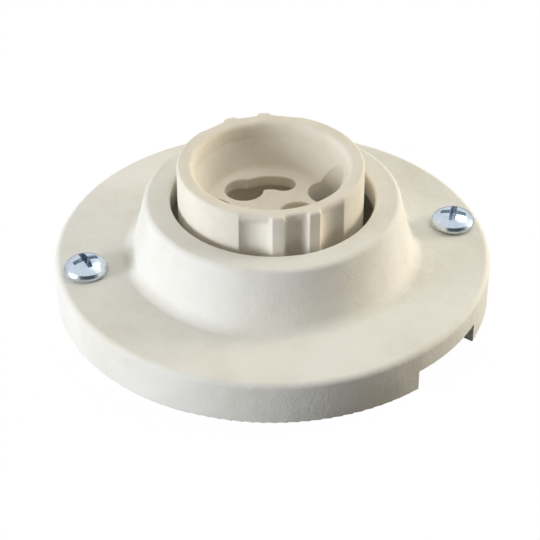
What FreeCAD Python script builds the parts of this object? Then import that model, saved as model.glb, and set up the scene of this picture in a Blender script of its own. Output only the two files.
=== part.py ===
import FreeCAD, Part
import math
import os
import Sketcher
from FreeCAD import Vector

# Ceramic surface-mount lamp holder for a lamp with two headed pins 10 mm apart.
# +Z points away from the mounting surface, the origin is the centre of the underside,
# and the X axis runs through the two cover screws. Lengths in mm, angles in degrees.

doc = FreeCAD.newDocument("lampHolder")
sheet = doc.addObject("Spreadsheet::Sheet", "sizes")

driving = [
    # porcelain cover: flange, skirt and collar
    ("base_radius", 32.5),
    ("flange_top", 6.9),
    ("flange_edge", 1.8),
    ("top_wall", 3.5),
    ("skirt_wall", 3.2),
    ("bottom_edge", 0.3),
    ("collar_top", 16.2),
    ("collar_radius", 19.6),
    ("collar_flare", 0.75),
    ("collar_foot", 2.7),
    ("collar_edge", 1.4),
    ("bore_radius", 15.1),
    ("bore_edge", 0.4),
    ("bore_land", 3.6),
    ("well_step", 1.9),
    ("inner_round", 1.0),
    ("notch_width", 13.9),
    ("notch_height", 3.3),
    ("notch_angle", -50.7),
    # screws that hold the cover down
    ("screw_inset", 4.4),
    ("cover_screw_radius", 1.75),
    ("cover_hole_play", 0.25),
    ("pad_radius", 4.0),
    ("pan_radius", 3.35),
    ("pan_height", 2.25),
    ("pan_dome", 4.6),
    ("pan_round", 0.4),
    ("cross_length", 4),
    ("cross_width", 0.95),
    ("cross_depth", 1.5),
    ("cross_taper", 12),
    ("left_screw_turn", 15),
    ("right_screw_turn", 66),
    ("tip_gap", 0.3),
    # steel strap
    ("seat_wall", 1.6),
    ("strap_width", 10),
    ("strap_thickness", 1.5),
    ("strap_corner", 2),
    ("strap_play", 0.3),
    ("thread_play", 0.03),
    ("wall_slot_inset", 4.6),
    ("wall_slot_radius", 2.25),
    ("wall_slot_travel", 3),
    # ceramic socket
    ("socket_offset", -0.27),
    ("socket_turn", 2.8),
    ("socket_radius", 13.7),
    ("socket_top", 21.85),
    ("rim_inner", 11.45),
    ("rim_round", 0.45),
    ("lip_round", 0.85),
    ("throat_foot_radius", 11.1),
    ("throat_foot_depth", 2.55),
    ("floor_radius", 9),
    ("floor_height", 15.25),
    ("floor_round", 0.9),
    ("floor_wall", 1.7),
    ("flute_wide_radius", 3.4),
    ("flute_wide_reach", 16.1),
    ("flute_narrow_radius", 1.9),
    ("flute_narrow_reach", 14.65),
    ("flute_pitch", 25.2),
    ("flute_edge", 0.25),
    ("land_radius", 14.2),
    ("pin_reach", 5),
    ("slot_width", 3.5),
    ("slot_end_angle", 52),
    ("slot_sweep", 75),
    ("entry_radius", 2.85),
    ("slot_round", 0.25),
    ("chamber_radius", 3.3),
    ("screw_well_reach", 8.95),
    ("screw_well_radius", 3.1),
    ("socket_screw_reach", 8.45),
    ("screw_seat", 10.2),
    ("socket_hole_play", 0.2),
    # lower socket ceramic
    ("plate_height", 4),
    ("plate_inset", 0.3),
    ("plate_edge", 0.4),
    ("channel_width", 3.4),
    ("channel_depth", 2.5),
    ("channel_start", 2.5),
    # screws that hold the socket down
    ("socket_screw_radius", 1.5),
    ("cheese_radius", 2.5),
    ("cheese_height", 2),
    ("cheese_round", 0.3),
    ("driver_slot_width", 0.8),
    ("driver_slot_depth", 0.85),
    # spring contacts
    ("contact_lag", 9),
    ("strip_thickness", 0.4),
    ("strip_width", 2.8),
    ("contact_heel", 3.75),
    ("heel_radius", 1),
    ("leaf_lean", 62),
    ("leaf_length", 3.8),
    ("nose_turn", 105),
    ("nose_radius", 0.9),
    ("nose_tail", 0.5),
    ("barrel_start", 8.4),
    ("barrel_length", 3.8),
    ("barrel_radius", 1.15),
]

for row, (alias, number) in enumerate(driving, 1):
    sheet.set("A%d" % row, alias)
    sheet.set("B%d" % row, str(number))
    sheet.setAlias("B%d" % row, alias)
doc.recompute()


class Size:
    # a number together with the sheet expression that gives it
    def __init__(self, value, text):
        self.value = value
        self.text = text

    def __add__(self, other):
        other = asSize(other)
        return Size(self.value + other.value, "(%s + %s)" % (self.text, other.text))

    def __sub__(self, other):
        other = asSize(other)
        return Size(self.value - other.value, "(%s - %s)" % (self.text, other.text))

    def __mul__(self, other):
        other = asSize(other)
        return Size(self.value * other.value, "(%s * %s)" % (self.text, other.text))

    def __truediv__(self, other):
        other = asSize(other)
        return Size(self.value / other.value, "(%s / %s)" % (self.text, other.text))

    def __neg__(self):
        return Size(-self.value, "(0 - %s)" % self.text)


def asSize(number):
    if isinstance(number, Size):
        return number
    return Size(float(number), "%g" % number)


def size(alias):
    return Size(float(sheet.get(alias)), "sizes.%s" % alias)


def cosOf(angle):
    return Size(math.cos(math.radians(angle.value)), "cos(%s * 1 deg)" % angle.text)


def sinOf(angle):
    return Size(math.sin(math.radians(angle.value)), "sin(%s * 1 deg)" % angle.text)


def rootOf(number):
    return Size(math.sqrt(number.value), "sqrt(%s)" % number.text)


def bind(target, path, number):
    target.setExpression(path, asSize(number).text)


def newBody(label):
    body = doc.addObject("PartDesign::Body", label)
    body.Label = label
    return body


def originFeature(body, role):
    return [item for item in body.Origin.OriginFeatures if item.Role == role][0]


def newSketch(body, name, role, offset=None):
    # sketch on one of the body's origin planes, lifted along the plane's normal by offset
    sketch = body.newObject("Sketcher::SketchObject", name)
    sketch.AttachmentSupport = [(originFeature(body, role), "")]
    sketch.MapMode = "FlatFace"
    if offset is not None:
        bind(sketch, "AttachmentOffset.Base.z", offset)
    return sketch


def pinPoint(sketch, geometry, corner, x, y):
    # ties one point of the sketch to its coordinates
    for kind, axis, number in (("DistanceX", -2, x), ("DistanceY", -1, y)):
        if isinstance(number, (int, float)) and number == 0:
            sketch.addConstraint(Sketcher.Constraint("PointOnObject", geometry, corner, axis))
        else:
            number = asSize(number)
            rule = Sketcher.Constraint(kind, -1, 1, geometry, corner, number.value)
            bind(sketch, "Constraints[%d]" % sketch.addConstraint(rule), number)


def setRadius(sketch, geometry, radius):
    rule = Sketcher.Constraint("Radius", geometry, radius.value)
    bind(sketch, "Constraints[%d]" % sketch.addConstraint(rule), radius)


def flatPoint(point):
    return Vector(asSize(point[0]).value, asSize(point[1]).value, 0)


def arcBetween(start, end, radius, turn):
    # arc from start to end; turn is 1 counter-clockwise, -1 clockwise, always the short way
    chord = end - start
    rise = math.sqrt(max(radius ** 2 - chord.Length ** 2 / 4, 0))
    side = Vector(-chord.y, chord.x, 0).normalize() * turn
    centre = (start + end) / 2 + side * rise
    first, last = (start, end) if turn > 0 else (end, start)
    low = math.atan2(first.y - centre.y, first.x - centre.x)
    high = math.atan2(last.y - centre.y, last.x - centre.x)
    if high < low:
        high += 2 * math.pi
    return Part.ArcOfCircle(Part.Circle(centre, Vector(0, 0, 1), radius), low, high)


def drawPath(sketch, points, arcs, closed):
    # lines through the points; arcs maps an edge's number to its radius and turn
    edges = len(points) if closed else len(points) - 1
    ends = []
    for number in range(edges):
        start = points[number]
        end = points[(number + 1) % len(points)]
        if number in arcs:
            radius, turn = arcs[number]
            curve = arcBetween(flatPoint(start), flatPoint(end), radius.value, turn)
            ends.append((1, 2) if turn > 0 else (2, 1))
        else:
            curve = Part.LineSegment(flatPoint(start), flatPoint(end))
            ends.append((1, 2))
        sketch.addGeometry(curve, False)
    for number in range(edges):
        pinPoint(sketch, number, ends[number][0], *points[number])
        if number in arcs:
            setRadius(sketch, number, arcs[number][0])
        if number < edges - 1 or closed:
            after = (number + 1) % edges
            rule = Sketcher.Constraint("Coincident", number, ends[number][1], after, ends[after][0])
            sketch.addConstraint(rule)
        else:
            pinPoint(sketch, number, ends[number][1], *points[-1])


def drawOutline(sketch, points, arcs={}):
    drawPath(sketch, points, arcs, True)


def drawCircle(sketch, x, y, radius):
    centre = Vector(asSize(x).value, asSize(y).value, 0)
    number = sketch.addGeometry(Part.Circle(centre, Vector(0, 0, 1), radius.value), False)
    pinPoint(sketch, number, 3, x, y)
    setRadius(sketch, number, radius)


def drawRectangle(sketch, low, high):
    drawOutline(sketch, [low, (high[0], low[1]), high, (low[0], high[1])])


def revolve(body, name, sketch):
    feature = body.newObject("PartDesign::Revolution", name)
    feature.Profile = sketch
    feature.ReferenceAxis = (sketch, ["V_Axis"])
    feature.Angle = 360
    doc.recompute()
    return feature


def extrude(body, kind, name, sketch, length, reversed=False):
    # kind is Pad or Pocket; length None goes right through
    before = body.Shape.Volume if body.Tip else 0
    feature = body.newObject("PartDesign::" + kind, name)
    feature.Profile = sketch
    feature.Reversed = reversed
    if length is None:
        feature.Type = "ThroughAll"
    else:
        bind(feature, "Length", length)
    doc.recompute()
    grown = feature.Shape.Volume - before
    if (kind == "Pad" and grown <= 0) or (kind == "Pocket" and grown >= 0):
        raise RuntimeError("%s changes nothing" % name)
    return feature


def cutUp(body, name, sketch, length):
    # pocket that runs from its sketch towards +Z
    return extrude(body, "Pocket", name, sketch, length, True)


def circleEdges(feature, radius, height):
    # names of the level circular edges with this radius at this height
    found = []
    for number, edge in enumerate(feature.Shape.Edges, 1):
        if edge.Degenerated:
            continue
        curve = edge.Curve
        if isinstance(curve, Part.Circle) and abs(curve.Axis.z) > 0.999:
            if abs(curve.Radius - radius.value) < 0.001 and abs(curve.Center.z - height.value) < 0.001:
                found.append("Edge%d" % number)
    return found


def levelEdges(feature, height):
    # names of the edges that lie wholly at this height
    found = []
    for number, edge in enumerate(feature.Shape.Edges, 1):
        box = edge.BoundBox
        if max(abs(box.ZMin - height.value), abs(box.ZMax - height.value)) < 0.001:
            found.append("Edge%d" % number)
    return found


def uprightEdges(feature, reach):
    # names of the straight edges along Z at least this far from the axis
    found = []
    for number, edge in enumerate(feature.Shape.Edges, 1):
        box = edge.BoundBox
        middle = box.Center
        straight = max(box.XLength, box.YLength) < 0.001 and box.ZLength > 1
        if straight and math.hypot(middle.x, middle.y) > reach.value - 0.01:
            found.append("Edge%d" % number)
    return found


def roundEdges(body, name, base, edges, radius):
    if not edges:
        raise RuntimeError("%s finds no edge" % name)
    feature = body.newObject("PartDesign::Fillet", name)
    feature.Base = (base, edges)
    bind(feature, "Radius", radius)
    doc.recompute()
    return feature


def repeatOpposite(body, name, originals):
    # the same features again, half a turn round Z
    feature = body.newObject("PartDesign::PolarPattern", name)
    feature.Originals = originals
    feature.Axis = (originFeature(body, "Z_Axis"), [""])
    feature.Angle = 360
    feature.Occurrences = 2
    body.Tip = feature
    doc.recompute()
    return feature


def placeBody(body, x, y, z, turn):
    body.Placement.Rotation = FreeCAD.Rotation(Vector(0, 0, 1), asSize(turn).value)
    for axis, number in (("x", x), ("y", y), ("z", z)):
        bind(body, "Placement.Base.%s" % axis, number)
    bind(body, "Placement.Rotation.Angle", turn)


ceiling = size("flange_top") - size("top_wall")
strapTop = size("strap_thickness")
plateTop = strapTop + size("plate_height")
screwReach = size("base_radius") - size("screw_inset")
seatHalf = size("base_radius") - size("seat_wall")
strapHalf = seatHalf - size("strap_play")
wallSlotReach = screwReach - size("pad_radius") - size("wall_slot_inset")


def buildCover():
    body = newBody("cover")
    outer = size("base_radius")
    flange = size("flange_top")
    top = size("collar_top")
    collar = size("collar_radius")
    foot = collar + size("collar_flare")
    bore = size("bore_radius")
    land = top - size("bore_land")
    well = bore + size("well_step")
    skirt = outer - size("skirt_wall")
    section = newSketch(body, "coverSection", "XZ_Plane")
    drawOutline(section, [
        (skirt, 0), (outer, 0), (outer, flange), (foot, flange), (collar, top), (bore, top),
        (bore, land), (well, land), (well, ceiling), (skirt, ceiling)])
    shell = revolve(body, "coverShell", section)
    rounds = [
        ("collarFoot", foot, flange, "collar_foot"),
        ("collarEdge", collar, top, "collar_edge"),
        ("flangeEdge", outer, flange, "flange_edge"),
        ("boreEdge", bore, top, "bore_edge"),
        ("wellRound", well, land, "inner_round"),
        ("skirtRound", skirt, ceiling, "inner_round"),
        ("bottomEdge", outer, asSize(0), "bottom_edge"),
    ]
    for name, radius, height, alias in rounds:
        shell = roundEdges(body, name, shell, circleEdges(shell, radius, height), size(alias))
    # pads under the flange that the strap pulls against
    pads = newSketch(body, "padCircles", "XY_Plane", strapTop)
    for side in (-1, 1):
        drawCircle(pads, screwReach * side, 0, size("pad_radius"))
    extrude(body, "Pad", "pads", pads, ceiling - strapTop + size("top_wall") / 2)
    holes = newSketch(body, "screwCircles", "XY_Plane")
    for side in (-1, 1):
        drawCircle(holes, screwReach * side, 0, size("cover_screw_radius") + size("cover_hole_play"))
    cutUp(body, "screwHoles", holes, flange + size("pan_height"))
    # seats for the strap's ends in the skirt
    wide = size("strap_width") / 2 + size("strap_play")
    seat = newSketch(body, "strapSeat", "XY_Plane")
    drawRectangle(seat, (-seatHalf, -wide), (seatHalf, wide))
    cutUp(body, "strapSeats", seat, strapTop)
    # cable-entry notch through the skirt
    angle = size("notch_angle")
    reach = size("notch_width") / 2
    corners = []
    for along, across in ((skirt - 3, -reach), (outer + 1, -reach), (outer + 1, reach), (skirt - 3, reach)):
        corners.append((along * cosOf(angle) - across * sinOf(angle),
                        along * sinOf(angle) + across * cosOf(angle)))
    notch = newSketch(body, "notchOutline", "XY_Plane")
    drawOutline(notch, corners)
    cutUp(body, "cableNotch", notch, size("notch_height"))
    return body


def buildSocketBody():
    body = newBody("socket_body")
    outer = size("socket_radius")
    top = size("socket_top")
    floor = size("floor_height")
    roof = floor - size("floor_wall")
    pin = size("pin_reach")
    throat = size("throat_foot_radius")
    section = newSketch(body, "socketSection", "XZ_Plane")
    drawOutline(section, [
        (0, plateTop), (outer, plateTop), (outer, top), (size("rim_inner"), top),
        (throat, top - size("throat_foot_depth")), (size("floor_radius"), floor), (0, floor)])
    bowl = revolve(body, "socketBowl", section)
    rounds = [
        ("lipRound", size("rim_inner"), top, "lip_round"),
        ("floorRound", size("floor_radius"), floor, "floor_round"),
    ]
    for name, radius, height, alias in rounds:
        bowl = roundEdges(body, name, bowl, circleEdges(bowl, radius, height), size(alias))
    # raised lands either side of the narrow flute, then the flutes down the whole side
    pitch = size("flute_pitch")
    land = size("land_radius")
    inside = outer - size("rim_round")
    low = pitch * -1 - 90
    high = pitch - 90
    lands = newSketch(body, "landOutline", "XY_Plane", plateTop)
    drawOutline(lands, [
        (inside * cosOf(low), inside * sinOf(low)), (land * cosOf(low), land * sinOf(low)),
        (land * cosOf(high), land * sinOf(high)), (inside * cosOf(high), inside * sinOf(high))],
        {1: (land, 1), 3: (inside, -1)})
    landPad = extrude(body, "Pad", "lands", lands, top - plateTop)
    flutes = newSketch(body, "fluteCircles", "XY_Plane")
    for step, kind in ((-1, "wide"), (0, "narrow"), (1, "wide")):
        angle = pitch * step - 90
        reach = size("flute_%s_reach" % kind)
        drawCircle(flutes, reach * cosOf(angle), reach * sinOf(angle), size("flute_%s_radius" % kind))
    fluteCut = cutUp(body, "flutes", flutes, top + 1)
    grip = repeatOpposite(body, "gripOpposite", [landPad, fluteCut])
    grip = roundEdges(body, "fluteEdges", grip, uprightEdges(grip, size("socket_radius")), size("flute_edge"))
    crown = [name for name in levelEdges(grip, top) if name not in circleEdges(grip, size("rim_inner"), top)]
    roundEdges(body, "rimRound", grip, crown, size("rim_round"))
    # screw well, closed outwards by the throat's own radius, and its hole
    reach = size("screw_well_reach")
    radius = size("screw_well_radius")
    across = (throat * throat - radius * radius + reach * reach) / (reach * 2)
    rise = rootOf(throat * throat - across * across)
    well = newSketch(body, "wellOutline", "XY_Plane", size("screw_seat"))
    drawOutline(well, [(across, -rise), (across, rise), (reach - radius, 0)],
                {0: (throat, 1), 1: (radius, 1), 2: (radius, 1)})
    wellCut = cutUp(body, "screwWell", well, top - size("screw_seat"))
    hole = newSketch(body, "socketHoleCircle", "XY_Plane")
    drawCircle(hole, size("socket_screw_reach"), 0, size("socket_screw_radius") + size("socket_hole_play"))
    holeCut = cutUp(body, "socketHole", hole, top)
    # keyhole slot in the floor above a wider chamber for the pin head and the contact
    start = size("slot_end_angle")
    finish = start + size("slot_sweep")
    parts = [wellCut, holeCut]
    chamber = size("chamber_radius")
    levels = (
        ("slot", roof - 0.5, floor - roof + 1, size("slot_width") / 2, size("entry_radius")),
        ("chamber", plateTop, roof - plateTop, chamber, chamber),
    )
    for name, low, rise, half, far in levels:
        band = newSketch(body, name + "Band", "XZ_Plane")
        band.AttachmentOffset = FreeCAD.Placement(Vector(), FreeCAD.Rotation(Vector(0, 1, 0), start.value))
        bind(band, "AttachmentOffset.Rotation.Angle", start)
        drawRectangle(band, (pin - half, low), (pin + half, low + rise))
        sweep = body.newObject("PartDesign::Groove", name + "Sweep")
        sweep.Profile = band
        sweep.ReferenceAxis = (band, ["V_Axis"])
        bind(sweep, "Angle", size("slot_sweep"))
        doc.recompute()
        parts.append(sweep)
        for tag, angle, radius in (("Near", start, half), ("Far", finish, far)):
            ring = newSketch(body, name + tag, "XY_Plane", low)
            drawCircle(ring, pin * cosOf(angle), pin * sinOf(angle), radius)
            parts.append(cutUp(body, name + tag + "Hole", ring, rise))
    whole = repeatOpposite(body, "socketOpposite", parts)
    # soft edge round each keyhole slot
    half = size("slot_width") / 2
    brinks = []
    for radius in (half, size("entry_radius"), pin - half, pin + half):
        brinks += circleEdges(whole, radius, floor)
    roundEdges(body, "slotRound", whole, brinks, size("slot_round"))
    return body


def buildSocketPlate():
    body = newBody("socket_plate")
    radius = size("socket_radius") - size("plate_inset")
    rim = newSketch(body, "plateCircle", "XY_Plane", strapTop)
    drawCircle(rim, 0, 0, radius)
    disc = extrude(body, "Pad", "plateDisc", rim, size("plate_height"))
    roundEdges(body, "plateEdge", disc, circleEdges(disc, radius, strapTop), size("plate_edge"))
    hole = newSketch(body, "plateHoleCircle", "XY_Plane")
    drawCircle(hole, size("socket_screw_reach"), 0, size("socket_screw_radius") + size("socket_hole_play"))
    holeCut = cutUp(body, "plateHole", hole, plateTop + 1)
    # wire channel from the chamber to the side
    angle = size("slot_end_angle") + size("contact_lag")
    across = size("channel_width") / 2
    corners = []
    for reach, side in ((size("channel_start"), -1), (radius + 1, -1), (radius + 1, 1), (size("channel_start"), 1)):
        shift = across * side
        corners.append((reach * cosOf(angle) - shift * sinOf(angle), reach * sinOf(angle) + shift * cosOf(angle)))
    channel = newSketch(body, "channelOutline", "XY_Plane", plateTop - size("channel_depth"))
    drawOutline(channel, corners)
    channelCut = cutUp(body, "channel", channel, size("channel_depth") + 1)
    repeatOpposite(body, "plateOpposite", [holeCut, channelCut])
    return body


def buildContact(label, turn):
    # strip bent up from the channel floor into a leaf that presses on the pin's head
    body = newBody(label)
    half = size("strip_thickness") / 2
    base = plateTop - size("channel_depth") + half
    heel = size("heel_radius")
    nose = size("nose_radius")
    lean = size("leaf_lean")
    dive = lean - size("nose_turn")
    tail = size("barrel_start")
    heelCentre = (size("contact_heel"), base + heel)
    leafLow = (heelCentre[0] - heel * sinOf(lean), heelCentre[1] + heel * cosOf(lean))
    leafHigh = (leafLow[0] + size("leaf_length") * cosOf(lean), leafLow[1] + size("leaf_length") * sinOf(lean))
    noseCentre = (leafHigh[0] + nose * sinOf(lean), leafHigh[1] - nose * cosOf(lean))
    noseEnd = (noseCentre[0] - nose * sinOf(dive), noseCentre[1] + nose * cosOf(dive))
    tip = (noseEnd[0] + size("nose_tail") * cosOf(dive), noseEnd[1] + size("nose_tail") * sinOf(dive))
    heelSide = (heelCentre[0] - heel, heelCentre[1])
    noseTop = (noseCentre[0], noseCentre[1] + nose)
    spine = newSketch(body, "contactSpine", "XZ_Plane")
    drawPath(spine, [
        (tail, base), (heelCentre[0], base), heelSide, leafLow, leafHigh, noseTop, noseEnd, tip],
        {1: (heel, -1), 2: (heel, -1), 4: (nose, -1), 5: (nose, -1)}, False)
    strip = newSketch(body, "stripSection", "YZ_Plane", tail)
    wide = size("strip_width") / 2
    drawRectangle(strip, (-wide, base - half), (wide, base + half))
    pipe = body.newObject("PartDesign::AdditivePipe", "leaf")
    pipe.Profile = strip
    pipe.Spine = (spine, ["Edge%d" % number for number in range(1, 8)])
    pipe.Mode = "Frenet"
    doc.recompute()
    # crimp barrel for the lead
    radius = size("barrel_radius")
    barrel = newSketch(body, "barrelRing", "YZ_Plane", tail - half)
    middle = base - half + radius
    drawCircle(barrel, 0, middle, radius)
    drawCircle(barrel, 0, middle, radius - size("strip_thickness"))
    extrude(body, "Pad", "barrel", barrel, size("barrel_length"))
    placeBody(body, size("socket_offset"), asSize(0), asSize(0),
              size("socket_turn") + size("slot_end_angle") + size("contact_lag") + turn)
    return body


def buildSocketScrew(label, side):
    # slotted cheese-head screw; its own origin is under the head
    body = newBody(label)
    shank = size("socket_screw_radius")
    head = size("cheese_radius")
    high = size("cheese_height")
    length = size("screw_seat") - size("tip_gap")
    section = newSketch(body, "cheeseSection", "XZ_Plane")
    drawOutline(section, [(0, -length), (shank, -length), (shank, 0), (head, 0), (head, high), (0, high)])
    turned = revolve(body, "cheeseTurned", section)
    roundEdges(body, "cheeseRound", turned, circleEdges(turned, head, high), size("cheese_round"))
    slot = newSketch(body, "driverSlot", "XY_Plane", high - size("driver_slot_depth"))
    reach = head + 1
    half = size("driver_slot_width") / 2
    drawRectangle(slot, (-reach, -half), (reach, half))
    cutUp(body, "driverCut", slot, size("driver_slot_depth") + 1)
    turn = size("socket_turn")
    reach = size("socket_screw_reach") * side
    placeBody(body, size("socket_offset") + reach * cosOf(turn), reach * sinOf(turn), size("screw_seat"),
              turn + 35 * side)
    return body


def buildCoverScrew(label, side, turn):
    # pan-head screw with a cross recess; its own origin is under the head
    body = newBody(label)
    shank = size("cover_screw_radius")
    head = size("pan_radius")
    high = size("pan_height")
    dome = size("pan_dome")
    length = size("flange_top") - size("tip_gap")
    brow = high - dome + rootOf(dome * dome - head * head)
    section = newSketch(body, "panSection", "XZ_Plane")
    drawOutline(section, [(0, -length), (shank, -length), (shank, 0), (head, 0), (head, brow), (0, high)],
                {4: (dome, 1)})
    turned = revolve(body, "panTurned", section)
    roundEdges(body, "panRound", turned, circleEdges(turned, head, brow), size("pan_round"))
    # cross recess, narrower towards its bottom
    far = size("cross_length") / 2
    near = size("cross_width") / 2
    quarter = [(far, -near), (far, near), (near, near)]
    points = []
    for across, along in ((1, 0), (0, 1), (-1, 0), (0, -1)):
        for x, y in quarter:
            points.append((x * across - y * along, x * along + y * across))
    cross = newSketch(body, "crossOutline", "XY_Plane", high)
    drawOutline(cross, points)
    recess = extrude(body, "Pocket", "crossRecess", cross, size("cross_depth"))
    recess.TaperAngle = -size("cross_taper").value
    bind(recess, "TaperAngle", -size("cross_taper"))
    doc.recompute()
    placeBody(body, screwReach * side, asSize(0), size("flange_top"), turn)
    return body


def buildStrap():
    body = newBody("strap")
    half = strapHalf
    wide = size("strap_width") / 2
    plan = newSketch(body, "strapPlan", "XY_Plane")
    cut = size("strap_corner")
    drawOutline(plan, [
        (half - cut, -wide), (half, cut - wide), (half, wide - cut), (half - cut, wide),
        (cut - half, wide), (-half, wide - cut), (-half, cut - wide), (cut - half, -wide)],
        {0: (cut, 1), 2: (cut, 1), 4: (cut, 1), 6: (cut, 1)})
    extrude(body, "Pad", "strapBar", plan, strapTop)
    holes = newSketch(body, "strapHoles", "XY_Plane")
    turn = size("socket_turn")
    for side in (-1, 1):
        drawCircle(holes, screwReach * side, 0, size("cover_screw_radius") + size("thread_play"))
        reach = size("socket_screw_reach") * side
        drawCircle(holes, size("socket_offset") + reach * cosOf(turn), reach * sinOf(turn),
                   size("socket_screw_radius") + size("thread_play"))
    cutUp(body, "strapDrilled", holes, strapTop + 1)
    # slots for the wall screws
    radius = size("wall_slot_radius")
    travel = size("wall_slot_travel") / 2
    for name, shift in (("slotInner", -travel), ("slotOuter", travel)):
        ends = newSketch(body, name, "XY_Plane")
        for side in (-1, 1):
            drawCircle(ends, (wallSlotReach + shift) * side, 0, radius)
        cutUp(body, name + "Cut", ends, strapTop + 1)
    middle = newSketch(body, "slotMiddle", "XY_Plane")
    low = wallSlotReach - travel
    high = wallSlotReach + travel
    drawRectangle(middle, (low, -radius), (high, radius))
    middleCut = cutUp(body, "slotMiddleCut", middle, strapTop + 1)
    repeatOpposite(body, "slotOpposite", [middleCut])
    return body


pieces = [
    buildCover(),
    buildSocketBody(),
    buildSocketPlate(),
    buildContact("contact_rear", 0),
    buildContact("contact_front", 180),
    buildSocketScrew("socket_screw_left", -1),
    buildSocketScrew("socket_screw_right", 1),
    buildStrap(),
    buildCoverScrew("cover_screw_left", -1, size("left_screw_turn")),
    buildCoverScrew("cover_screw_right", 1, size("right_screw_turn")),
]
for piece in pieces:
    if piece.Label in ("socket_body", "socket_plate"):
        placeBody(piece, size("socket_offset"), asSize(0), asSize(0), size("socket_turn"))
doc.recompute()

for item in doc.Objects:
    if "Invalid" in item.State or "Error" in item.State:
        raise RuntimeError("%s failed: %s" % (item.Name, item.State))
os.makedirs("parts", exist_ok=True)
for piece in pieces:
    if piece.Shape.isNull() or not piece.Shape.isValid():
        raise RuntimeError("%s has no valid shape" % piece.Label)
    print(piece.Label, len(piece.Shape.Solids), round(piece.Shape.Volume, 2), piece.Shape.BoundBox)
for piece in pieces:
    piece.Shape.exportStep("parts/%s.step" % piece.Label)
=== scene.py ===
import math
import bmesh
import bpy
import numpy as np
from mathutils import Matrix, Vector


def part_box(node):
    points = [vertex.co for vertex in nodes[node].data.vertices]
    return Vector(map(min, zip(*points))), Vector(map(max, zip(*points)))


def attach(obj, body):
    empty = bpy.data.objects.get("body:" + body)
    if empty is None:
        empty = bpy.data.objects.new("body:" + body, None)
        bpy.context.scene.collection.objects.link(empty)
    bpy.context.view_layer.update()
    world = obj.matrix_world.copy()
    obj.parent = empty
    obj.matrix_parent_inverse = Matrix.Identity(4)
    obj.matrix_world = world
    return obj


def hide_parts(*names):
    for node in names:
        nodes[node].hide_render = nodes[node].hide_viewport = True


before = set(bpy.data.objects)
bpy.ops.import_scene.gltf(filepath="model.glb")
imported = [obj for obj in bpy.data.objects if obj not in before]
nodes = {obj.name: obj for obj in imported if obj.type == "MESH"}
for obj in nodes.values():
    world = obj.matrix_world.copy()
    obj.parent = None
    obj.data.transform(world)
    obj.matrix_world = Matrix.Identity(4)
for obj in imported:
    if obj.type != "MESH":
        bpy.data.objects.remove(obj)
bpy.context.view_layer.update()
scene = bpy.context.scene


def newMaterial(name):
    material = bpy.data.materials.new(name)
    material.use_nodes = True
    tree = material.node_tree
    shader = tree.nodes["Principled BSDF"]
    return material, tree, shader


def addNode(tree, kind, **inputs):
    node = tree.nodes.new(kind)
    for name, value in inputs.items():
        node.inputs[name].default_value = value
    return node


def addNoise(tree, coords, size, detail=3.0, roughness=0.5):
    # noise whose blobs are about size metres across
    noise = addNode(tree, "ShaderNodeTexNoise", Scale=1.0 / size, Detail=detail, Roughness=roughness)
    tree.links.new(coords, noise.inputs["Vector"])
    return noise


def ramp(tree, source, low, high, stops):
    # maps source from low..high onto the colour stops
    spread = addNode(tree, "ShaderNodeMapRange")
    spread.inputs["From Min"].default_value = low
    spread.inputs["From Max"].default_value = high
    tree.links.new(source, spread.inputs["Value"])
    band = tree.nodes.new("ShaderNodeValToRGB")
    points = band.color_ramp.elements
    while len(points) < len(stops):
        points.new(0.5)
    for point, (place, colour) in zip(points, stops):
        point.position = place
        point.color = (*colour, 1.0)
    tree.links.new(spread.outputs["Result"], band.inputs["Fac"])
    return band.outputs["Color"]


def addBump(tree, shader, layers):
    # layers of (height source, depth in metres), fine over coarse
    previous = None
    for source, depth in layers:
        bump = addNode(tree, "ShaderNodeBump", Strength=1.0, Distance=depth)
        tree.links.new(source, bump.inputs["Height"])
        if previous:
            tree.links.new(previous, bump.inputs["Normal"])
        previous = bump.outputs["Normal"]
    tree.links.new(previous, shader.inputs["Normal"])


def spreadRoughness(tree, shader, source, limits):
    # roughness follows a noise between two limits
    rough = addNode(tree, "ShaderNodeMapRange")
    rough.inputs["To Min"].default_value = limits[0]
    rough.inputs["To Max"].default_value = limits[1]
    tree.links.new(source, rough.inputs["Value"])
    tree.links.new(rough.outputs["Result"], shader.inputs["Roughness"])


# blob sizes and bump depths in metres
ceramicGrain = {"cloud": 0.009, "grain": 0.0004, "grainDepth": 0.00005, "swell": 0.0035,
                "swellDepth": 0.00016}
porcelainLook = {
    "colour": [(0.0, (0.81, 0.785, 0.71)), (0.5, (0.855, 0.84, 0.78)), (1.0, (0.88, 0.87, 0.82))],
    "roughness": (0.68, 0.82), "gloss": 0.2,
}
socketLook = {
    "colour": [(0.0, (0.79, 0.73, 0.61)), (0.5, (0.845, 0.795, 0.695)), (1.0, (0.87, 0.83, 0.74))],
    "roughness": (0.7, 0.85), "gloss": 0.2,
}


def ceramicMaterial(name, look):
    # pressed ceramic: cloudy body colour, fine dry grain, a soft low sheen
    material, tree, shader = newMaterial(name)
    place = tree.nodes.new("ShaderNodeTexCoord").outputs["Object"]
    cloud = addNoise(tree, place, ceramicGrain["cloud"], 4.0, 0.6)
    grain = addNoise(tree, place, ceramicGrain["grain"], 2.0, 0.65)
    swell = addNoise(tree, place, ceramicGrain["swell"], 2.0, 0.4)
    tree.links.new(ramp(tree, cloud.outputs["Fac"], 0.3, 0.7, look["colour"]), shader.inputs["Base Color"])
    spreadRoughness(tree, shader, grain.outputs["Fac"], look["roughness"])
    addBump(tree, shader, [(swell.outputs["Fac"], ceramicGrain["swellDepth"]),
                           (grain.outputs["Fac"], ceramicGrain["grainDepth"])])
    shader.inputs["Specular IOR Level"].default_value = look["gloss"]
    shader.inputs["IOR"].default_value = 1.5
    return material


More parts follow.
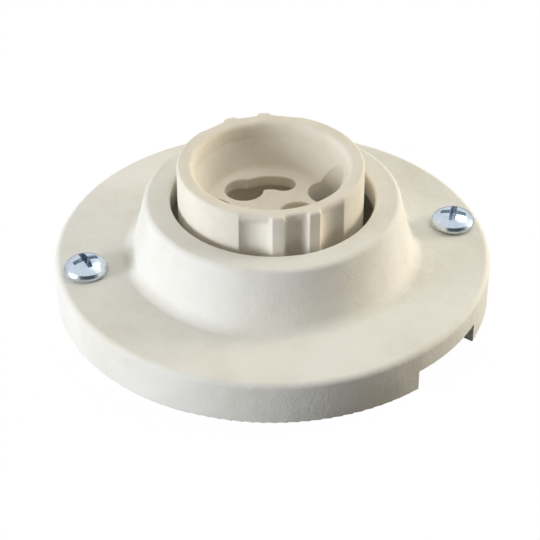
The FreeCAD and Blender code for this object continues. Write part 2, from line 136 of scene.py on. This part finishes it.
metalGrain = {"cloud": 0.0018, "scuff": 0.00025, "cloudDepth": 0.00004, "scuffDepth": 0.000008}
metalLook = {
    "zinc": {"colour": [(0.0, (0.55, 0.60, 0.66)), (1.0, (0.72, 0.78, 0.84))], "roughness": (0.18, 0.34)},
    "steel": {"colour": [(0.0, (0.50, 0.51, 0.51)), (1.0, (0.62, 0.63, 0.62))], "roughness": (0.3, 0.45)},
    "bronze": {"colour": [(0.0, (0.62, 0.47, 0.27)), (1.0, (0.76, 0.60, 0.36))], "roughness": (0.25, 0.4)},
}


def metalMaterial(name, look):
    # plated or plain metal: slightly uneven tone, fine scuffs in the gloss
    material, tree, shader = newMaterial(name)
    place = tree.nodes.new("ShaderNodeTexCoord").outputs["Object"]
    cloud = addNoise(tree, place, metalGrain["cloud"], 3.0, 0.6)
    scuff = addNoise(tree, place, metalGrain["scuff"], 3.0, 0.7)
    tree.links.new(ramp(tree, cloud.outputs["Fac"], 0.3, 0.7, look["colour"]), shader.inputs["Base Color"])
    spreadRoughness(tree, shader, scuff.outputs["Fac"], look["roughness"])
    addBump(tree, shader, [(cloud.outputs["Fac"], metalGrain["cloudDepth"]),
                           (scuff.outputs["Fac"], metalGrain["scuffDepth"])])
    shader.inputs["Metallic"].default_value = 1.0
    return material


porcelain = ceramicMaterial("warmPorcelain", porcelainLook)
socketCeramic = ceramicMaterial("ivorySteatite", socketLook)
zincPlate = metalMaterial("blueZincPlate", metalLook["zinc"])
strapSteel = metalMaterial("dullZincStrap", metalLook["steel"])
contactBronze = metalMaterial("springBronze", metalLook["bronze"])

finishes = {
    "socket_plate": socketCeramic,
    "contact_front": contactBronze,
    "contact_rear": contactBronze,
    "socket_screw_left": zincPlate,
    "socket_screw_right": zincPlate,
    "strap": strapSteel,
}
for nodeName, material in finishes.items():
    nodes[nodeName].data.materials.clear()
    nodes[nodeName].data.materials.append(material)
print("finished nodes:", len(finishes))


def polar(points):
    # distance from the axis, angle round it and height of each point
    return np.hypot(points[:, 0], points[:, 1]), np.arctan2(points[:, 1], points[:, 0]), points[:, 2]


def upright(radius, turn, height):
    # polar values back to x, y and z
    return np.stack([radius * np.cos(turn), radius * np.sin(turn), height], axis=1)


def readRows(items, field, width, kind=np.float32):
    # one field of a Blender collection as rows of numbers
    values = np.empty(len(items) * width, dtype=kind)
    items.foreach_get(field, values)
    return values.reshape(-1, width)


# weld and sliver sizes in metres, the angle of a crisp edge in degrees
copyLook = {"weld": 1e-7, "sliver": 1e-6, "crisp": 18}


def reshapedCopy(nodeName, pieceName, material, axis, reshape, levels=()):
    # closed copy of a solid, with rings added at some levels and its points moved by a rule about the axis;
    # the rule gets a row for each point, its place and then its outward normal
    solid = nodes[nodeName].data
    mesh = bpy.data.meshes.new(pieceName)
    corners = readRows(solid.loops, "vertex_index", 1, np.int32).reshape(-1, 3)
    mesh.from_pydata(readRows(solid.vertices, "co", 3) - np.array(axis), [], corners)
    form = bmesh.new()
    form.from_mesh(mesh)
    bmesh.ops.remove_doubles(form, verts=form.verts, dist=copyLook["weld"])
    bmesh.ops.dissolve_degenerate(form, edges=form.edges, dist=copyLook["sliver"])
    for level in levels:
        bmesh.ops.bisect_plane(form, geom=form.verts[:] + form.edges[:] + form.faces[:],
                               plane_co=(0, 0, level), plane_no=(0, 0, 1))
    form.to_mesh(mesh)
    form.free()
    points = np.hstack([readRows(mesh.vertices, "co", 3), readRows(mesh.vertices, "normal", 3)])
    mesh.vertices.foreach_set("co", (reshape(points) + np.array(axis)).ravel())
    mesh.update()
    mesh.shade_smooth()
    mesh.set_sharp_from_angle(angle=math.radians(copyLook["crisp"]))
    mesh.materials.append(material)
    piece = bpy.data.objects.new(pieceName, mesh)
    scene.collection.objects.link(piece)
    even = piece.modifiers.new("evenShading", "WEIGHTED_NORMAL")
    even.keep_sharp = True
    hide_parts(nodeName)
    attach(piece, "root")


# radii and heights in metres; share is how much of each of the solid's roundings stays
coverLook = {
    "flangeHeight": 0.0069,
    "collar": {"solidTop": 0.0196, "solidFoot": 0.02035, "top": 0.01885, "foot": 0.0211,
               "inside": 0.0173, "outside": 0.0235},
    "flangeEdge": {"reach": 0.0019, "share": 0.5},
    "collarEdge": {"reach": 0.0015, "share": 0.5},
    "collarFoot": {"reach": 0.0026, "share": 0.6},
}


def tighten(radius, height, corner, look):
    # points near a corner (radius, height) draw in towards it, so that its rounding gets crisper
    near = np.hypot(radius - corner[0], height - corner[1]) < look["reach"]
    share = np.where(near, look["share"], 1.0)
    return corner[0] + (radius - corner[0]) * share, corner[1] + (height - corner[1]) * share


def coverProfile(points):
    # crisper moulded edges, then a collar that leans in towards its rim
    radius, turn, height = polar(points)
    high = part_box("cover")[1]
    flange = coverLook["flangeHeight"]
    collar = coverLook["collar"]
    radius, height = tighten(radius, height, (high[0], flange), coverLook["flangeEdge"])
    radius, height = tighten(radius, height, (collar["solidTop"], high[2]), coverLook["collarEdge"])
    radius, height = tighten(radius, height, (collar["solidFoot"], flange), coverLook["collarFoot"])
    rise = (height - flange) / (high[2] - flange)
    lean = (collar["foot"] - collar["solidFoot"]) * (1 - rise) + (collar["top"] - collar["solidTop"]) * rise
    wall = (rise > -1e-4) & (radius > collar["inside"]) & (radius < collar["outside"])
    return upright(radius + np.where(wall, lean, 0.0), turn, height)


reshapedCopy("cover", "coverShell", porcelain, Vector((0, 0, 0)), coverProfile)
print("cover shell made")

# metres; tip is the part of the solid's dome that the cross recess takes away
headLook = {"tip": 0.00015, "curve": 2.3, "shoulder": 0.0029, "dome": 0.0046, "undercut": 0.0006,
            "lip": 0.0006, "levels": (0.00012, 0.0003, 0.00045, 0.0007)}


def headProfile(points):
    # pan head as a squat superellipse, (r/R)^n + (z/H)^n = 1, above an undercut that meets the seat
    radius, turn, height = polar(points)
    low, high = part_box("cover_screw_left")
    rim = (high[0] - low[0]) / 2
    top = high[2] - coverLook["flangeHeight"] + headLook["tip"]
    power = headLook["curve"]
    dome = headLook["dome"]
    inner = np.minimum(radius, headLook["shoulder"])
    solidTop = top + np.sqrt(dome ** 2 - inner ** 2) - dome
    newTop = top * (1 - (inner / rim) ** power) ** (1 / power)
    newHeight = np.where(height > 0, height * newTop / solidTop, height)
    level = np.clip(newHeight / top, 0.0, 1.0)
    below = np.clip(1 - newHeight / headLook["lip"], 0.0, 1.0)
    flank = rim * (1 - level ** power) ** (1 / power) - headLook["undercut"] * below ** 2
    onFlank = (height > -1e-6) & (radius > headLook["shoulder"])
    return upright(np.where(onFlank, flank, radius), turn, newHeight)


for side in ("left", "right"):
    low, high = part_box("cover_screw_" + side)
    seat = Vector(((low[0] + high[0]) / 2, (low[1] + high[1]) / 2, coverLook["flangeHeight"]))
    reshapedCopy("cover_screw_" + side, "panScrew" + side.capitalize(), zincPlate, seat,
                 headProfile, headLook["levels"])
print("cover screws made")

# metres, some as depths below the rim; turn in degrees; pocketSeat is a height over the wall
bowlLook = {
    "outer": 0.0137, "rimRound": 0.00045, "fade": (0.0019, 0.0006), "left": 0.3, "turn": 2.8,
    "throatFoot": 0.0111, "footDepth": 0.00255,
    "floorDepth": 0.0066, "floorRadius": 0.009, "floorRound": 0.0009,
    "wellReach": 0.00895, "wellRadius": 0.0031, "pocketReach": 0.00845, "pocketHalf": (0.00265, 0.0029),
    "pocketTop": 0.0026, "pocketSeat": 0.0101, "match": 2e-5, "openMatch": 3e-5, "outward": 0.05,
    "levels": (0.0006, 0.0009, 0.0012, 0.00155, 0.0019, 0.00262, 0.0035),
}


def bowlDepth(radius):
    # how far the open surface lies below the rim: flat floor, its rounding, the cone and the throat
    look = bowlLook
    rise = look["floorDepth"] - look["footDepth"]
    run = look["throatFoot"] - look["floorRadius"]
    tilt = math.atan2(rise, run)
    start = look["floorRadius"] - look["floorRound"] * math.tan(tilt / 2)
    bend = np.clip(radius - start, 0.0, look["floorRound"] * math.sin(tilt))
    rounded = look["floorDepth"] - look["floorRound"] + np.sqrt(look["floorRound"] ** 2 - bend ** 2)
    cone = look["floorDepth"] - (radius - look["floorRadius"]) * rise / run
    return np.where(radius > start + look["floorRound"] * math.sin(tilt), cone, rounded)


def fadeFlutes(radius, depth, facing):
    # where the surface looks away from the axis, the grip flutes run out smoothly below the rim
    start, end = bowlLook["fade"]
    run = np.clip((start - depth) / (start - end), 0.0, 1.0)
    run = run * run * (3 - 2 * run) * (1 - bowlLook["left"])
    over = np.clip(bowlLook["rimRound"] - depth, 0.0, bowlLook["rimRound"])
    full = bowlLook["outer"] - bowlLook["rimRound"] + np.sqrt(bowlLook["rimRound"] ** 2 - over ** 2)
    return np.where((facing > bowlLook["outward"]) & (radius < full), radius + (full - radius) * run, radius)


def bowlProfile(points):
    # run-out flutes, and screw pockets with rounded ends that stop at the throat's foot
    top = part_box("socket_body")[1][2]
    radius, turn, height = polar(points)
    depth = top - height
    facing = points[:, 3] * np.cos(turn) + points[:, 4] * np.sin(turn)
    radius = fadeFlutes(radius, depth, facing)
    # along and across the pocket, from the middle of the solid's well
    local = turn - math.radians(bowlLook["turn"])
    side = np.sign(np.cos(local))
    along = radius * np.cos(local) * side
    across = radius * np.sin(local) * side
    offArc = np.hypot(along - bowlLook["wellReach"], across) - bowlLook["wellRadius"]
    onArc = np.abs(offArc) < bowlLook["match"]
    onFoot = np.abs(radius - bowlLook["throatFoot"]) < bowlLook["match"]
    onEnd = onFoot & (np.abs(across) < bowlLook["wellRadius"])
    wall = (onArc | onEnd) & (depth > bowlLook["pocketTop"]) & (height > bowlLook["pocketSeat"])
    heading = np.arctan2(across, along - bowlLook["pocketReach"])
    half = bowlLook["pocketHalf"]
    reach = 1 / np.hypot(np.cos(heading) / half[0], np.sin(heading) / half[1])
    newAlong = np.where(wall, bowlLook["pocketReach"] + reach * np.cos(heading), along)
    newAcross = np.where(wall, reach * np.sin(heading), across)
    newRadius = np.hypot(newAlong, newAcross)
    newTurn = np.arctan2(newAcross * side, newAlong * side) + math.radians(bowlLook["turn"])
    wasOpen = np.abs(depth - bowlDepth(radius)) < bowlLook["openMatch"]
    newDepth = np.where(wasOpen, bowlDepth(newRadius), np.maximum(depth, bowlDepth(newRadius)))
    return upright(newRadius, newTurn, top - np.where(wall, newDepth, depth))


low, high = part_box("socket_body")
bowlAxis = Vector(((low[0] + high[0]) / 2, (low[1] + high[1]) / 2, 0))
top = high[2]
reshapedCopy("socket_body", "socketBowl", socketCeramic, bowlAxis,
             bowlProfile, [top - level for level in bowlLook["levels"]])
print("socket bowl made")

# half is in metres; the side ramp sets how much of the glow shows across X to every ray, so two strips of the
# floor sheet glow and light the holder as painted light
floorLook = {"half": 3.0, "paint": 0.14, "glowShare": 0.84, "glow": 1.17,
             "sideGlow": [(0.0, (0.5,) * 3), (0.5, (0.0,) * 3), (0.68, (0.0,) * 3), (1.0, (0.4,) * 3)]}


def buildFloor():
    # flat sheet under the holder, nearly white to the camera but still taking its shadow; its two side strips
    # glow to every ray and light the holder as painted light
    half = floorLook["half"]
    mesh = bpy.data.meshes.new("floorSheet")
    corners = [(-half, -half, 0), (half, -half, 0), (half, half, 0), (-half, half, 0)]
    mesh.from_pydata(corners, [], [(0, 1, 2, 3)])
    sheet = bpy.data.objects.new("floorSheet", mesh)
    scene.collection.objects.link(sheet)
    material, tree, shader = newMaterial("paleFloor")
    shader.inputs["Base Color"].default_value = (floorLook["paint"],) * 3 + (1.0,)
    shader.inputs["Roughness"].default_value = 0.9
    shader.inputs["Specular IOR Level"].default_value = 0.0
    glow = addNode(tree, "ShaderNodeEmission", Color=(1, 1, 1, 1), Strength=floorLook["glow"])
    path = tree.nodes.new("ShaderNodeLightPath")
    seen = tree.nodes.new("ShaderNodeMath")
    seen.operation = "MULTIPLY"
    tree.links.new(path.outputs["Is Camera Ray"], seen.inputs[0])
    seen.inputs[1].default_value = floorLook["glowShare"]
    split = tree.nodes.new("ShaderNodeSeparateXYZ")
    tree.links.new(tree.nodes.new("ShaderNodeTexCoord").outputs["Object"], split.inputs["Vector"])
    share = tree.nodes.new("ShaderNodeMath")
    share.operation = "MAXIMUM"
    tree.links.new(seen.outputs[0], share.inputs[0])
    # painted light: outside a narrow middle band the sheet glows to all rays, not only to the camera, and
    # lights the holder's sides
    tree.links.new(ramp(tree, split.outputs["X"], -0.05, 0.05, floorLook["sideGlow"]), share.inputs[1])
    mix = tree.nodes.new("ShaderNodeMixShader")
    tree.links.new(share.outputs[0], mix.inputs[0])
    tree.links.new(shader.outputs[0], mix.inputs[1])
    tree.links.new(glow.outputs[0], mix.inputs[2])
    tree.links.new(mix.outputs[0], tree.nodes["Material Output"].inputs["Surface"])
    mesh.materials.append(material)


buildFloor()
print("floor made")

worldLook = {
    "backdrop": (1.0, 1.0, 1.0, 1.0),
    "mirrored": [(0.0, (0.06, 0.075, 0.085)), (0.6, (0.16, 0.19, 0.2)), (1.0, (0.86, 0.92, 0.98))],
    "fill": [(0.0, (0.05, 0.042, 0.033)), (1.0, (0.78, 0.745, 0.69))],
    "room": [(0.0, (0.12, 0.1, 0.07)), (1.0, (1.06, 1.06, 1.06))],
}


def feed(tree, value, socket):
    # links a node's output, or sets a plain number or colour
    if isinstance(value, bpy.types.NodeSocket):
        tree.links.new(value, socket)
    else:
        socket.default_value = value


def mixColours(tree, mode, factor, first, second):
    blend = tree.nodes.new("ShaderNodeMixRGB")
    blend.blend_type = mode
    feed(tree, factor, blend.inputs["Fac"])
    feed(tree, first, blend.inputs["Color1"])
    feed(tree, second, blend.inputs["Color2"])
    return blend.outputs["Color"]


def buildWorld():
    # white to the camera and through gaps; for light and gloss a pale sky, dim on the camera's side
    world = bpy.data.worlds.new("studioWorld")
    scene.world = world
    world.use_nodes = True
    tree = world.node_tree
    path = tree.nodes.new("ShaderNodeLightPath")
    seen = tree.nodes.new("ShaderNodeMath")
    seen.operation = "MAXIMUM"
    tree.links.new(path.outputs["Is Camera Ray"], seen.inputs[0])
    tree.links.new(path.outputs["Is Transmission Ray"], seen.inputs[1])
    split = tree.nodes.new("ShaderNodeSeparateXYZ")
    tree.links.new(tree.nodes.new("ShaderNodeTexCoord").outputs["Generated"], split.inputs["Vector"])
    sky = ramp(tree, split.outputs["Z"], 0.0, 1.0, worldLook["fill"])
    room = ramp(tree, split.outputs["Y"], -0.95, 0.0, worldLook["room"])
    fill = mixColours(tree, "MULTIPLY", 1.0, sky, room)
    mirrored = ramp(tree, split.outputs["Y"], -0.85, -0.5, worldLook["mirrored"])
    lit = mixColours(tree, "MIX", path.outputs["Is Glossy Ray"], fill, mirrored)
    final = mixColours(tree, "MIX", seen.outputs["Value"], lit, worldLook["backdrop"])
    tree.links.new(final, tree.nodes["Background"].inputs["Color"])


buildWorld()
print("world made")

# azimuths are degrees round Z from +X, distances in metres
viewLook = {"azimuth": -102.5, "elevation": 36.7, "distance": 0.2925, "lens": 128.28,
            "shiftX": -0.0046, "shiftY": 0.0256}
lampLook = {
    "leftSoftbox": {"azimuth": -166, "elevation": 9, "distance": 0.8, "width": 0.3, "height": 0.35,
                    "watts": 5.75, "tint": (0.88, 0.93, 1.0)},
    "rightSoftbox": {"azimuth": 4, "elevation": 11, "distance": 0.8, "width": 0.3, "height": 0.3,
                     "watts": 4.15, "tint": (1.0, 0.9, 0.74)},
    "backSoftbox": {"azimuth": 25, "elevation": 52, "distance": 0.8, "width": 0.4, "height": 0.4,
                    "watts": 1.3, "tint": (0.94, 1.0, 0.92)},
}


def spherical(azimuth, elevation, distance):
    # a place by its azimuth and elevation in degrees and its distance from the origin
    flat = math.cos(math.radians(elevation)) * distance
    return Vector((flat * math.cos(math.radians(azimuth)), flat * math.sin(math.radians(azimuth)),
                   distance * math.sin(math.radians(elevation))))


def aimed(item, target):
    # turns a lamp or camera so that it looks at the target
    item.rotation_euler = (target - item.location).to_track_quat("-Z", "Y").to_euler()


def buildLamps():
    for name, look in lampLook.items():
        light = bpy.data.lights.new(name, "AREA")
        light.shape = "RECTANGLE"
        light.size = look["width"]
        light.size_y = look["height"]
        light.energy = look["watts"]
        light.color = look["tint"]
        lamp = bpy.data.objects.new(name, light)
        lamp.location = spherical(look["azimuth"], look["elevation"], look["distance"])
        aimed(lamp, Vector((0, 0, 0.008)))
        scene.collection.objects.link(lamp)


buildLamps()
print("lamps made:", len(lampLook))


def buildCamera():
    camera = bpy.data.objects.new("viewCamera", bpy.data.cameras.new("viewCamera"))
    camera.location = spherical(viewLook["azimuth"], viewLook["elevation"], viewLook["distance"])
    aimed(camera, Vector((0, 0, 0)))
    camera.data.lens = viewLook["lens"]
    camera.data.sensor_width = 36.0
    camera.data.shift_x = viewLook["shiftX"]
    camera.data.shift_y = viewLook["shiftY"]
    camera.data.clip_start = 0.01
    scene.collection.objects.link(camera)
    scene.camera = camera


buildCamera()
print("camera made")
scene.view_settings.view_transform = "Standard"
